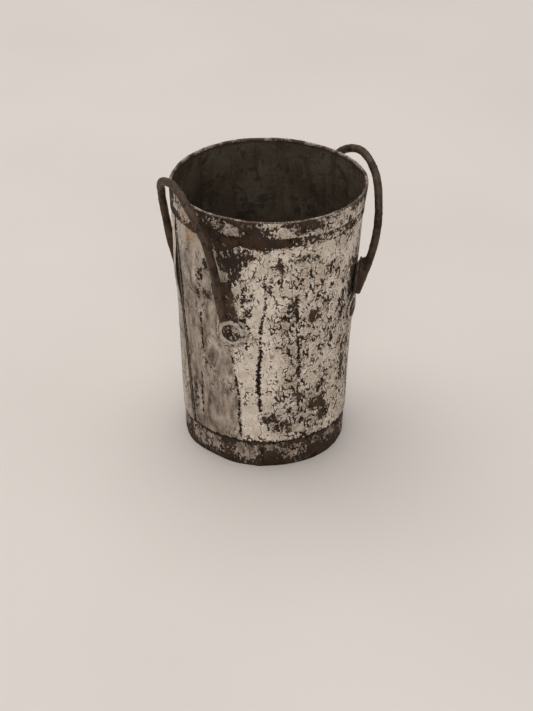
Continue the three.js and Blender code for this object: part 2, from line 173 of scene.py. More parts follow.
# How far the real pail has been knocked out of shape, in millimetres.
RIM_OVAL = 0.5
RIM_CORNER = 1.5  # beside the seam
RIM_FLARE = 0.8  # under the right handle
WAIST = 0.45
LEAN = 0.7
LEAN_WAY = (-0.9, 0.42)


def hand_made(points):
    """Pushes points about as the real pail has been knocked about: the same for every piece."""
    p = np.array(points, float)
    azimuth = np.degrees(np.arctan2(p[:, 1], p[:, 0]))
    radius = np.hypot(p[:, 0], p[:, 1])
    z = p[:, 2]
    outer = smoothstep(radius, 20, 50)
    oval = RIM_OVAL * smoothstep(z, 60, HEIGHT) * np.cos(np.radians(2 * (azimuth - 50)))
    corner = RIM_CORNER * smoothstep(z, 120, HEIGHT) * bell(from_azimuth(azimuth, 163), 14)
    flare = RIM_FLARE * smoothstep(z, 160, HEIGHT) * bell(from_azimuth(azimuth, -20), 22)
    waist = -WAIST * bell(z - 72, 32)
    push = (oval + corner + flare + waist) * outer / np.maximum(radius, 1)
    lean = LEAN * np.sin(np.pi * np.clip(z / HEIGHT, 0, 1)) * outer
    p[:, 0] = p[:, 0] * (1 + push) + LEAN_WAY[0] * lean
    p[:, 1] = p[:, 1] * (1 + push) + LEAN_WAY[1] * lean
    return p


def circle(count):
    """Angles of points spread evenly round a circle."""
    return np.linspace(0, 2 * np.pi, count, endpoint=False)


def polar(radius, azimuth, z):
    """Points from radius, azimuth in degrees and height."""
    a = np.radians(azimuth)
    return np.stack(np.broadcast_arrays(radius * np.cos(a), radius * np.sin(a), z), axis=-1)


# ---- mesh building


def set_field(mesh, name, values):
    """Keeps a number or a vector for each vertex, for the materials to read."""
    values = np.asarray(values, dtype=np.float32)
    kind, key = ("FLOAT", "value") if values.ndim == 1 else ("FLOAT_VECTOR", "vector")
    mesh.attributes.new(name, kind, "POINT").data.foreach_set(key, values.ravel())


def make_object(name, points, faces, materials, face_slots=None, fields=None):
    """A smooth-shaded object from points in millimetres, with named fields on its vertices."""
    mesh = bpy.data.meshes.new(name)
    mesh.from_pydata((np.asarray(points) * MM).tolist(), [], [list(f) for f in faces])
    for material in materials:
        mesh.materials.append(material)
    if face_slots is not None:
        mesh.polygons.foreach_set("material_index", np.asarray(face_slots, dtype=np.int32))
    mesh.polygons.foreach_set("use_smooth", np.ones(len(mesh.polygons), dtype=bool))
    for field, values in (fields or {}).items():
        set_field(mesh, field, values)
    mesh.update()
    mesh.set_sharp_from_angle(angle=np.radians(50))
    obj = bpy.data.objects.new(name, mesh)
    bpy.context.scene.collection.objects.link(obj)
    return obj


def grid_faces(columns, rows, start=0, wrap=False, flip=False):
    """Quads of a grid whose points are stored column by column."""
    i = np.arange(columns if wrap else columns - 1)[:, None]
    k = np.arange(rows - 1)[None, :]
    a = i * rows + k
    b = ((i + 1) % columns) * rows + k
    quads = np.stack([a, b, b + 1, a + 1], axis=-1).reshape(-1, 4) + start
    return quads[:, ::-1] if flip else quads


def sheet_shell(outer, inner):
    """Points and faces of a closed sheet between two grids of shape (columns, rows, 3). The
    faces of the outer side come first, then the inner side, then the edges."""
    columns, rows = outer.shape[:2]
    count = columns * rows
    points = np.concatenate([outer.reshape(-1, 3), inner.reshape(-1, 3)])
    index = np.arange(count).reshape(columns, rows)
    edges = []
    borders = ((index[:, 0], True), (index[:, -1], False), (index[0], False), (index[-1], True))
    for line, flip in borders:
        a, b = line[:-1], line[1:]
        quads = np.stack([a, b, b + count, a + count], axis=-1)
        edges.append(quads[:, ::-1] if flip else quads)
    sides = [grid_faces(columns, rows), grid_faces(columns, rows, start=count, flip=True)]
    return points, sides, np.concatenate(edges)


def turned_shell(profile, azimuths):
    """Points and faces of a closed ring: a closed profile of (radius, height) turned about Z."""
    profile = np.asarray(profile, float)
    rows, columns = len(profile), len(azimuths)
    points = polar(profile[None, :, 0], azimuths[:, None], profile[None, :, 1]).reshape(-1, 3)
    here = np.arange(columns)[:, None] * rows
    there = (here + rows) % (columns * rows)
    k = np.arange(rows)[None, :]
    up = (k + 1) % rows
    quads = np.stack([here + k, there + k, there + up, here + up], axis=-1)
    return points, quads.reshape(-1, 4)


def tube_faces(sections, sides):
    """Faces of a tube with closed ends, whose points are stored section by section."""
    start = np.arange(sections - 1)[:, None] * sides
    k = np.arange(sides)[None, :]
    a, b = start + k, start + (k + 1) % sides
    quads = np.stack([a, b, b + sides, a + sides], axis=-1).reshape(-1, 4).tolist()
    ends = [list(range(sides))[::-1], [(sections - 1) * sides + k for k in range(sides)]]
    return quads + ends


def sheet_piece(name, outer, inner, fields, materials, outer_slot, inner_slot, edge_slot):
    """A piece made of one bent sheet. The inner side has the fields of the outer side."""
    points, sides, edges = sheet_shell(outer, inner)
    for field, values in fields.items():
        fields[field] = np.concatenate([values, values]).reshape(len(points), *values.shape[2:])
    slots = np.concatenate([
        outer_slot + np.zeros(len(sides[0])),
        np.full(len(sides[1]), inner_slot),
        np.full(len(edges), edge_slot),
    ])
    faces = np.concatenate([*sides, edges])
    return make_object(name, hand_made(points), faces, materials, slots, fields)


def placed(piece, node):
    """Hides the CAD node that a piece replaces, and says what the piece moves with."""
    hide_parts(node)
    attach(piece, "root")


# ---- shader building


class Shader:
    """A short way to write a material's nodes."""

    def __init__(self, name):
        self.material = bpy.data.materials.new(name)
        self.material.use_nodes = True
        self.tree = self.material.node_tree
        self.tree.nodes.clear()
        self.output = self.tree.nodes.new("ShaderNodeOutputMaterial")
        self.surface = self.tree.nodes.new("ShaderNodeBsdfPrincipled")
        self.tree.links.new(self.surface.outputs[0], self.output.inputs["Surface"])
        # object coordinates in millimetres
        coordinates = self.tree.nodes.new("ShaderNodeTexCoord").outputs["Object"]
        self.place = self.scaled(coordinates, (1 / MM,) * 3)

    def plug(self, value, socket):
        """Links a socket to another one, or sets it to a number, vector or colour."""
        if isinstance(value, bpy.types.NodeSocket):
            self.tree.links.new(value, socket)
        else:
            socket.default_value = value

    def field(self, name, output="Fac"):
        node = self.tree.nodes.new("ShaderNodeAttribute")
        node.attribute_name = name
        return node.outputs[output]

    def scaled(self, vector, scale, turn=0):
        node = self.tree.nodes.new("ShaderNodeMapping")
        node.inputs["Scale"].default_value = scale
        node.inputs["Rotation"].default_value = (0, 0, np.radians(turn))
        self.plug(vector, node.inputs["Vector"])
        return node.outputs[0]

    def noise(self, scale, detail, roughness, distortion=0, at=None, output="Fac"):
        node = self.tree.nodes.new("ShaderNodeTexNoise")
        self.plug(at or self.place, node.inputs["Vector"])
        node.inputs["Scale"].default_value = scale
        node.inputs["Detail"].default_value = detail
        node.inputs["Roughness"].default_value = roughness
        node.inputs["Distortion"].default_value = distortion
        return node.outputs[output]

    def math(self, operation, a, b):
        node = self.tree.nodes.new("ShaderNodeMath")
        node.operation = operation
        self.plug(a, node.inputs[0])
        self.plug(b, node.inputs[1])
        return node.outputs[0]

    def add(self, *terms):
        total = terms[0]
        for term in terms[1:]:
            total = self.math("ADD", total, term)
        return total

    def times(self, a, b):
        return self.math("MULTIPLY", a, b)

    def add_vectors(self, a, b):
        node = self.tree.nodes.new("ShaderNodeVectorMath")
        self.plug(a, node.inputs[0])
        self.plug(b, node.inputs[1])
        return node.outputs[0]

    def mix_value(self, share, a, b):
        """Mixes two numbers."""
        return self.add(a, self.times(share, self.math("SUBTRACT", b, a)))

    def ramp(self, value, low, high, to_low=0, to_high=1):
        """A smooth ramp from one number to another while a value goes from low to high."""
        node = self.tree.nodes.new("ShaderNodeMapRange")
        node.interpolation_type = "SMOOTHSTEP"
        self.plug(value, node.inputs["Value"])
        limits = {"From Min": low, "From Max": high, "To Min": to_low, "To Max": to_high}
        for socket, limit in limits.items():
            self.plug(limit, node.inputs[socket])
        return node.outputs[0]

    def mix(self, share, a, b):
        """Mixes two colours."""
        node = self.tree.nodes.new("ShaderNodeMix")
        node.data_type = "RGBA"
        self.plug(share, node.inputs["Factor"])
        self.plug(a, [s for s in node.inputs if s.name == "A" and s.type == "RGBA"][0])
        self.plug(b, [s for s in node.inputs if s.name == "B" and s.type == "RGBA"][0])
        return [s for s in node.outputs if s.type == "RGBA"][0]

    def bump(self, height, distance, normal=None):
        """A bump from a height of 0 to 1 that stands for a distance in millimetres."""
        node = self.tree.nodes.new("ShaderNodeBump")
        node.inputs["Distance"].default_value = distance * MM
        self.plug(height, node.inputs["Height"])
        if normal is not None:
            self.plug(normal, node.inputs["Normal"])
        return node.outputs[0]

    def finish(self, colour, roughness, metallic, normal=None, specular=0.5):
        self.plug(colour, self.surface.inputs["Base Color"])
        self.plug(roughness, self.surface.inputs["Roughness"])
        self.plug(metallic, self.surface.inputs["Metallic"])
        self.plug(specular, self.surface.inputs["Specular IOR Level"])
        if normal is not None:
            self.plug(normal, self.surface.inputs["Normal"])
        return self.material


def srgb(r, g, b):
    """A linear colour from the usual 0-255 numbers."""
    c = np.array([r, g, b]) / 255
    linear = np.where(c <= 0.04045, c / 12.92, ((c + 0.055) / 1.055) ** 2.4)
    return (*linear.tolist(), 1)


PAINT_LIGHT = srgb(238, 223, 206)
PAINT_DARK = srgb(212, 195, 176)
PAINT_SHADE = srgb(150, 128, 106)
# painted highlight: the paint's curled edges beside the cracks, as if catching the light
PAINT_EDGE_HIGHLIGHT = srgb(252, 242, 228)
CRACK_BROWN = srgb(98, 72, 49)
GRIME = srgb(143, 127, 113)
GRIME_DARK = srgb(88, 71, 58)
# the tone field's dark colour: dark patches, and painted shade beside the seam
DARK_PATCH_AND_SHADE = srgb(34, 24, 17)
RUST_DARK = srgb(70, 53, 40)
RUST_BLACK = srgb(28, 17, 9)
RUST_BROWN = srgb(99, 75, 55)
RUST_ORANGE = srgb(164, 120, 68)
BARE_GREY = srgb(58, 49, 44)
EDGE_METAL = srgb(178, 162, 146)
WORN_IRON = srgb(98, 80, 64)
TARNISH = srgb(76, 62, 49)
TARNISH_PALE = srgb(98, 88, 74)
TARNISH_BROWN = srgb(58, 44, 33)
TARNISH_DARK = srgb(38, 26, 17)
TARNISH_PATCH = srgb(46, 33, 24)
TARNISH_GREY = srgb(104, 96, 82)
TARNISH_SPECK = srgb(120, 92, 62)
SOLDER_PALE = srgb(96, 92, 86)
SOLDER_DARK = srgb(60, 54, 48)
FLOOR_PALE = srgb(227, 218, 210)
FLOOR_DARK = srgb(223, 214, 206)


def rust_colour(s):
    """Dark brown rust that varies from near black to brown."""
    broad = s.noise(0.12, 4, 0.6)
    fine = s.noise(0.9, 5, 0.65)
    base = s.mix(s.ramp(broad, 0.35, 0.55), RUST_BLACK, RUST_DARK)
    return s.mix(s.ramp(fine, 0.5, 0.75, 0, 0.7), base, RUST_BROWN)


def middle_line(s, vector, middle, roughness):
    """How far a noise is from its middle level: its zeros are winding lines."""
    wave = s.noise(1, 1.2, roughness, at=vector)
    return s.math("ABSOLUTE", s.math("SUBTRACT", wave, middle), 0)


def crack_lines(s, sheet, level, broken):
    """How far each place is from the worm-like cracks, and from a finer net of shallow ones.
    The cracks follow a slanted or an upright noise, and are broken into pieces by another."""
    slanted = middle_line(s, s.scaled(sheet, (0.32, 0.17, 1), turn=48), 0.5, 0.45)
    upright = middle_line(s, s.scaled(sheet, (0.32, 0.16, 1), turn=-12), 0.47, 0.45)
    choose = s.ramp(s.noise(0.07, 2, 0.5), 0.45, 0.55)
    width = s.add(s.times(level, 0.075), s.ramp(broken, 0.36, 0.56, -0.07, 0), -0.006)
    off_line = s.math("SUBTRACT", s.mix_value(choose, slanted, upright), width)
    crossed = middle_line(s, s.scaled(sheet, (0.28, 0.5, 1), turn=25), 0.5, 0.5)
    gaps = s.ramp(s.noise(0.3, 2, 0.5), 0.4, 0.6, -0.03, 0)
    off_net = s.math("SUBTRACT", crossed, s.add(s.times(level, 0.06), gaps))
    return off_line, off_net


def paint_colour(s, level, broken, off_line, off_net):
    """The colour of the paint, paler beside the cracks as a painted highlight, and brown in the shallow
    ones.
    """
    mottle = s.noise(0.09, 5, 0.6)
    fine = s.noise(0.8, 4, 0.65)
    colour = s.mix(s.ramp(mottle, 0.38, 0.64), PAINT_LIGHT, PAINT_DARK)
    colour = s.mix(s.times(s.ramp(fine, 0.5, 0.72), 0.45), colour, PAINT_SHADE)
    crowded = s.times(s.ramp(level, 0.55, 1.2), s.ramp(fine, 0.42, 0.6, 0.2, 0.9))
    colour = s.mix(crowded, colour, PAINT_SHADE)
    # painted highlight: paler paint along the cracks, where their curled edges would catch the light
    highlight_by_line = s.ramp(off_line, 0.02, 0.09, 1, 0)
    highlight_by_net = s.ramp(off_net, 0.015, 0.06, 0.7, 0)
    beside = s.math("MAXIMUM", highlight_by_line, highlight_by_net)
    colour = s.mix(s.times(beside, s.ramp(broken, 0.35, 0.6, 0.2, 0.9)), colour, PAINT_EDGE_HIGHLIGHT)
    on_net = s.ramp(off_net, -0.025, 0.015, 1, 0)
    round_line = s.ramp(off_line, -0.005, 0.025, 1, 0)
    shallow = s.math("MAXIMUM", on_net, round_line)
    return s.mix(s.times(shallow, s.ramp(broken, 0.35, 0.6, 0.5, 0.95)), colour, CRACK_BROWN)


def soiled(s, colour, ragged):
    """A colour under grime and rusty stains, as far as the fields say."""
    grime, stain = s.field("grime"), s.field("stain")
    film = s.noise(0.24, 5, 0.66, at=s.scaled(s.place, (1, 1, 0.42)))
    colour = s.mix(s.times(grime, s.ramp(film, 0.3, 0.62, 0.45, 1)), colour, GRIME)
    colour = s.mix(s.times(grime, s.ramp(film, 0.52, 0.7, 0, 0.75)), colour, GRIME_DARK)
    return s.mix(s.times(stain, s.ramp(ragged, 0.38, 0.62, 0.15, 0.9)), colour, RUST_ORANGE)


def painted_tin(name):
    """Pale paint over rusted tinplate. The fields on the mesh say where: paint is how far, in
    millimetres, a point is inside the paint, stroke how far inside a scored line, crackle how
    broken the paint is, grime, stain and tone how dirty, rusty and dark it is. At the seam, stroke
    and tone also carry painted shadow."""
    s = Shader(name)
    warp = s.scaled(s.noise(0.4, 2, 0.5, output="Color"), (2.4, 2.4, 0))
    sheet = s.add_vectors(s.field("sheet", "Vector"), warp)

    # the ragged edge of the paint, with scraps left on the bare metal
    ragged = s.noise(0.3, 6, 0.7, 0.3)
    edge = s.add(s.field("paint"), s.ramp(ragged, 0.25, 0.75, -3.4, 3.4))
    scraps = s.noise(1, 3, 0.6, at=s.scaled(sheet, (0.55, 0.28, 1), turn=20))
    left = s.times(s.ramp(scraps, 0.56, 0.6), s.ramp(edge, -5, -2))
    painted = s.math("MAXIMUM", s.ramp(edge, -0.1, 0.2), left)

    # cracks, flakes knocked out where the cracks crowd together, and scored lines
    dense = s.noise(0.06, 3, 0.55)
    level = s.add(s.field("crackle"), s.ramp(dense, 0.35, 0.65, -0.3, 0.3))
    broken = s.noise(0.22, 2, 0.5)
    off_line, off_net = crack_lines(s, sheet, level, broken)
    crack = s.ramp(off_line, -0.035, 0, 1, 0)
    flake = s.noise(0.36, 6, 0.72, at=s.scaled(s.place, (1, 1, 0.75)))
    flakes = s.ramp(s.add(flake, s.times(level, 0.13), -0.74), -0.004, 0.01)
    along = s.noise(0.5, 4, 0.65)
    scored = s.ramp(s.add(s.field("stroke"), s.ramp(along, 0.3, 0.7, -1, 1)), -0.15, 0.35)
    gone = s.math("MAXIMUM", s.math("MAXIMUM", crack, flakes), scored)
    cover = s.times(painted, s.math("SUBTRACT", 1, gone))

    coat = soiled(s, paint_colour(s, level, broken, off_line, off_net), ragged)
    grey = s.ramp(s.noise(0.08, 4, 0.5), 0.47, 0.6, 0, 0.85)
    metal = s.mix(grey, rust_colour(s), BARE_GREY)
    metal = s.mix(s.times(s.times(painted, gone), 0.7), metal, RUST_BLACK)
    colour = s.mix(cover, metal, coat)
    # darker where the tone field says: in its dark patches, and with painted shade beside the seam
    colour = s.mix(s.times(s.field("tone"), s.ramp(ragged, 0.3, 0.7, 0.6, 1)), colour, DARK_PATCH_AND_SHADE)

    pits = s.noise(1.4, 5, 0.65)
    normal = s.bump(pits, 0.07)
    normal = s.bump(s.ramp(off_line, -0.03, 0.07), 0.3, normal)
    normal = s.bump(s.ramp(off_net, -0.03, 0.06), 0.16, normal)
    normal = s.bump(cover, 0.25, normal)
    return s.finish(colour, s.ramp(pits, 0.3, 0.7, 0.55, 0.75), 0, normal, 0.08)


def iron(name):
    """Dark brown forged iron, pitted, a little polished on its high spots, with paint scraps
    where the paint field is above zero."""
    s = Shader(name)
    worn = s.ramp(s.noise(0.35, 4, 0.6), 0.55, 0.75, 0, 0.5)
    colour = s.mix(worn, rust_colour(s), WORN_IRON)
    streaks = s.noise(0.35, 4, 0.6, at=s.scaled(s.place, (1, 1, 0.3)))
    colour = s.mix(s.ramp(streaks, 0.52, 0.66, 0, 0.7), colour, RUST_BROWN)
    ragged = s.noise(0.4, 5, 0.7)
    scraps = s.ramp(s.add(s.field("paint"), s.ramp(ragged, 0.3, 0.75, -2.5, 2.5)), 0, 0.25)
    colour = s.mix(scraps, colour, PAINT_SHADE)
    pits = s.noise(1.3, 5, 0.65)
    normal = s.bump(scraps, 0.12, s.bump(pits, 0.14))
    return s.finish(colour, s.ramp(pits, 0.3, 0.7, 0.5, 0.72), 0.2, normal, 0.3)


def worn_edge(name):
    """The rolled top of the rim, rubbed to pale metal between rusty stretches."""
    s = Shader(name)
    rubbed = s.noise(0.12, 5, 0.62)
    fine = s.noise(0.9, 4, 0.6)
    bare = s.mix(s.ramp(fine, 0.35, 0.65), EDGE_METAL, GRIME)
    rusty = s.ramp(s.add(rubbed, s.times(fine, 0.4)), 0.58, 0.74, 0.1, 0.95)
    colour = s.mix(rusty, bare, rust_colour(s))
    return s.finish(colour, s.ramp(fine, 0.3, 0.7, 0.45, 0.65), 0.2, s.bump(fine, 0.08), 0.3)


def tarnished(name):
    """The dull dark inside of the sheet."""
    s = Shader(name)
    broad = s.noise(0.05, 5, 0.6)
    fine = s.noise(0.5, 4, 0.6)
    streaks = s.noise(0.16, 4, 0.6, at=s.scaled(s.place, (1, 1, 0.2)))
    patches = s.noise(0.1, 6, 0.68, 0.4)
    speckle = s.noise(1.1, 3, 0.6)
    colour = s.mix(s.ramp(broad, 0.35, 0.65), TARNISH, TARNISH_PALE)
    for share, layer in (
        (s.ramp(streaks, 0.5, 0.68, 0, 0.6), TARNISH_BROWN),
        (s.ramp(fine, 0.54, 0.7, 0, 0.45), TARNISH_DARK),
        (s.ramp(patches, 0.52, 0.6, 0, 0.65), TARNISH_PATCH),
        (s.ramp(patches, 0.36, 0.44, 0.5, 0), TARNISH_GREY),
        (s.ramp(speckle, 0.66, 0.74, 0, 0.7), TARNISH_SPECK),
    ):
        colour = s.mix(share, colour, layer)
    return s.finish(colour, s.ramp(fine, 0.3, 0.7, 0.5, 0.7), 0.15, s.bump(fine, 0.1), 0.3)


def solder_grey(name):
    """Dull grey solder."""
    s = Shader(name)
    fine = s.noise(0.8, 4, 0.6)
    colour = s.mix(s.ramp(fine, 0.35, 0.65), SOLDER_PALE, SOLDER_DARK)
    return s.finish(colour, 0.45, 0.5, s.bump(fine, 0.1))


PAINTED = painted_tin("painted_tin")
WORN_EDGE = worn_edge("worn_edge")
IRON = iron("wrought_iron")
INSIDE = tarnished("tarnished_tin")
SOLDER = solder_grey("solder")

# ---- where the paint has gone

# Ovals on the wall, as azimuth and height of the middle, half width and half height. One degree
# of azimuth is one millimetre on the wall.
BARE_OVALS = [
    (217, 157, 10, 7), (223, 147, 8, 9), (225, 138, 4, 7), (230, 151, 5, 5), (240, 159, 7, 1.6),
    (233.7, 112, 2.4, 5), (236, 123, 1.2, 2.5), (231, 126, 1.5, 7),
    (250, 36, 6, 4), (258, 30, 7, 4), (284, 43, 7, 5), (268, 52, 4, 2), (290, 33, 5, 6),
    (276, 109, 4, 5), (262, 118, 2.5, 5), (252, 145, 3, 4), (270, 150, 5, 2), (287, 140, 3, 4),
    (206, 140, 3, 4), (200, 131, 2.2, 4), (206, 121, 2.2, 2.5), (192, 44, 1.6, 7), (199, 122, 1.2, 3),
    (12, 128, 3, 10), (18, 119, 6, 4), (21, 108, 2, 7), (52, 64, 9, 2.5), (58, 57, 5, 6), (64, 50, 2, 5),
    (88, 147, 12, 4), (99, 140, 8, 3), (93, 133, 3, 6), (117, 46, 3, 11), (123, 38, 9, 4),
    (130, 32, 4, 5), (149, 96, 2.5, 13), (153, 84, 5, 4), (333, 150, 3, 8), (339, 155, 7, 3),
    (346, 52, 5, 3), (353, 47, 9, 4), (358, 40, 3, 6), (78, 104, 2, 9), (83, 96, 4, 3), (105, 88, 6, 2),
    (315, 122, 7.5, 13), (38, 88, 2, 6), (68, 30, 8, 3), (320, 100, 3, 7), (325, 92, 6, 2.5),
    (308, 60, 3, 6), (140, 128, 5, 3),
]

# Darker patches, with how dark they are.
TONE_OVALS = [
    (210, 76, 7, 9, 0.35), (209, 45, 8, 16, 0.4), (190, 140, 6, 14, 0.4), (196, 62, 5, 16, 0.3),
    (203, 24, 14, 6, 0.4), (222, 152, 14, 10, 0.35), (262, 36, 22, 12, 0.15), (190, 100, 5, 20, 0.3),
    (176, 95, 7, 70, 0.35), (168, 60, 14, 60, 0.3), (196, 118, 5, 9, 0.35), (206, 100, 6, 8, 0.3),
]

# Scored lines on the wall: chains of azimuth, height and half the width from there on.
SCORES = [
    [(244, 141, 0.4), (245.2, 120, 0.75), (242, 101, 0.8), (242.8, 88, 1.3),
     (241.2, 72, 1.6), (241.4, 57, 1.2), (242.7, 43, 1.2)],
    [(263.5, 125, 1.1), (264.8, 108, 0.7), (267, 87, 0.8), (268.5, 69, 0.8)],
    [(262.5, 60, 1), (268, 54, 0.7), (275, 47.5, 0.7)],
    [(223, 86, 0.5), (225.5, 67, 0.9), (228, 52, 0.8), (229.5, 22, 0.8)],
    [(200, 104, 0.7), (201.5, 80, 0.7)],
    [(198.5, 60, 0.6), (198.5, 30, 0.6)],
]

# Golden rust stains behind the left handle, as ovals on the wall and on the rim band.
WALL_STAINS = [(193, 155, 6, 9), (188, 168, 6, 6)]
RIM_STAINS = [(188, 166, 8, 6)]


def oval_field(azimuth, z, ovals):
    """How far inside the nearest oval each point is, in millimetres, negative outside."""
    field = np.full(azimuth.shape, -50)
    for middle, height, half_width, half_height in ovals:
        far = np.hypot(from_azimuth(azimuth, middle) / half_width, (z - height) / half_height)
        field = np.maximum(field, (1 - far) * min(half_width, half_height))
    return field


def tone_field(azimuth, z, ovals):
    """How dark each point is, from soft ovals."""
    field = np.zeros(azimuth.shape)
    for middle, height, half_width, half_height, dark in ovals:
        far = np.hypot(from_azimuth(azimuth, middle) / half_width, (z - height) / half_height)
        field = np.maximum(field, dark * (1 - smoothstep(far, 0.3, 1.2)))
    return field


def stroke_field(azimuth, z, chains):
    """How far inside the nearest scored line each point is, in millimetres."""
    field = np.full(azimuth.shape, -20)
    for a0, z0, half_width, a1, z1 in (
            (*start, *end[:2]) for chain in chains for start, end in zip(chain, chain[1:])):
        along = np.array([a1 - a0, z1 - z0], float)
        da = from_azimuth(azimuth, a0)
        t = np.clip((da * along[0] + (z - z0) * along[1]) / (along @ along), 0, 1)
        far = np.hypot(da - t * along[0], z - z0 - t * along[1])
        field = np.maximum(field, half_width - far)
    return field


def seat_line(azimuth):
    """The dark line round the upper outer edge of a handle's backing plate."""
    radius = PLATE_RADIUS + 0.7
    turns = np.radians(np.linspace(5, 85, 5))
    return [(azimuth + radius * np.cos(t), RIVET_HEIGHT + radius * np.sin(t), 0.7) for t in turns]


def paint_fields(azimuth, z, paint, crackle, grime, stain=0, tone=0, stroke=-20):
    """The fields that painted_tin reads, for points given by azimuth and height."""
    fields = dict(paint=paint, crackle=crackle, grime=grime, stain=stain, tone=tone, stroke=stroke)
    fields = {name: value + 0 * z for name, value in fields.items()}
    fields["sheet"] = np.stack([azimuth, z, 0 * z], axis=-1)
    return fields


def wall_fields(azimuth, z):
    """The wall is dirty on the left and crackled on the right and at the back, with dark lines
    along its scores, its seam and its edges. Where the seam's outer lap gapes, its line widens into
    painted shadow, and painted shade darkens the wall beside it."""
    turn = azimuth % 360
    right = np.where(turn < 165, 0.85, smoothstep(turn, 243, 262))
    grime_edge = 223 + 7 * smoothstep(90 - z, 0, 50)
    left = (1 - smoothstep(turn, grime_edge - 2, grime_edge + 2)) * smoothstep(turn, 170, 186)
    upper = smoothstep(z, 105, 140)
    crackle = 0.42 + 0.4 * right * (1 - 0.45 * upper) + 0.12 * upper * (1 - right)

    from_seam = from_azimuth(azimuth, seam_edge(z))
    gape = bell(z - SEAM_GAPE_HEIGHT - 3, 22)
    beside = (from_seam > 0) & (from_seam < 9)
    # painted shade: the wall beside the seam is darkened where the outer lap stands off it, most where
    # it gapes
    seam_shade = np.where(beside, (1 - from_seam / 9) * (0.35 + 0.6 * gape), 0)
    # the dark line at the seam's edge, widened where the lap gapes into a painted shadow of the gap
    seam_joint_and_shadow = np.where(from_seam > 0, 2.4 + 0.9 * gape - from_seam, -20)
    under_band = 0.5 - np.abs(BAND_BOTTOM - 0.4 - z)
    at_foot = 0.9 - (z - WALL_BOTTOM)
    chains = SCORES + [seat_line(180 + RIVET_AZIMUTH), seat_line(-RIVET_AZIMUTH - 10)]
    return paint_fields(
        azimuth, z,
        paint=np.minimum(6, -oval_field(azimuth, z, BARE_OVALS)),
        crackle=crackle * (1 - left) + 0.26 * left,
        grime=np.maximum(left * (1 - 0.3 * smoothstep(z, 115, 150)), 0.15 + 0.12 * right),
        stain=np.clip(oval_field(azimuth, z, WALL_STAINS) / 3, 0, 1),
        tone=np.maximum(tone_field(azimuth, z, TONE_OVALS), seam_shade),
        stroke=np.maximum.reduce([stroke_field(azimuth, z, chains), under_band, at_foot, seam_joint_and_shadow]),
    )


# ---- the pieces


def lap_lift(from_edge, z):
    """How far the seam's outer lap is raised off the wall's cone."""
    climb = 1 - smoothstep(from_edge, SEAM_OVERLAP + 1.5, SEAM_RAMP)
    settle = 1 - smoothstep(z, LAP_TOP, BAND_BOTTOM - 1)
    away = np.clip(np.abs(z - SEAM_GAPE_HEIGHT) / 24, 0, 1)
    gape = 1.9 * (1 - smoothstep(away, 0, 1)) * (1 - smoothstep(from_edge, 0, SEAM_RAMP))
    return 0.7 * climb * settle + gape


def wall_piece():
    z = np.linspace(WALL_BOTTOM, WALL_TOP, 145)[None, :]
    # distance back from the seam's edge, in millimetres of arc
    turn = 360 + SEAM_OVERLAP
    from_edge = np.linspace(turn, 0, 372)[:, None] + 0 * z
    reach = np.where(z > LAP_TOP, -0.4, SEAM_OVERLAP)
    azimuth = seam_edge(z) + 360 - from_edge * (360 + reach) / turn
    z = z + 0 * azimuth
    scored = stroke_field(azimuth, z, SCORES)
    dents = rough(polar(58, azimuth, z), (0.28, 22, 3), (0.1, 7, 4))
    radius = wall_radius(z) + lap_lift(from_edge, z) + dents
    outer = polar(radius - 0.25 * smoothstep(scored, -1.5, 0.5), azimuth, z)
    inner = polar(radius - SHEET, azimuth, z)
    materials = [PAINTED, INSIDE]
    piece = sheet_piece("wall_sheet", outer, inner, wall_fields(azimuth, z), materials, 0, 1, 1)
    placed(piece, "wall")


RIM_PAINT = [
    (254, 168, 7, 5), (248, 175, 4, 2), (292, 168, 17, 8), (224, 168, 5, 5), (214, 172, 3, 3),
    (310, 164, 14, 8), (192, 168, 9, 9), (266, 161.5, 12, 2.5), (282, 172, 6, 4),
    (20, 168, 14, 7), (60, 168, 12, 7), (110, 167, 16, 8), (150, 168, 10, 7), (340, 167, 12, 6),
    (266, 160.5, 12, 7), (278, 161, 14, 9), (291, 161.5, 14, 9), (310, 162, 12, 8),
    (188, 167, 14, 12), (26, 162, 9, 4), (68, 163, 8, 4), (120, 162, 7, 4), (346, 162, 8, 4),
]
RIM_TONES = [(222, 170, 22, 9, 0.4), (240, 162, 20, 5, 0.3)]

# Rows of points up the rim band's skirt and over its rolled top.
SKIRT_ROWS = 24
ROLL_ROWS = 10


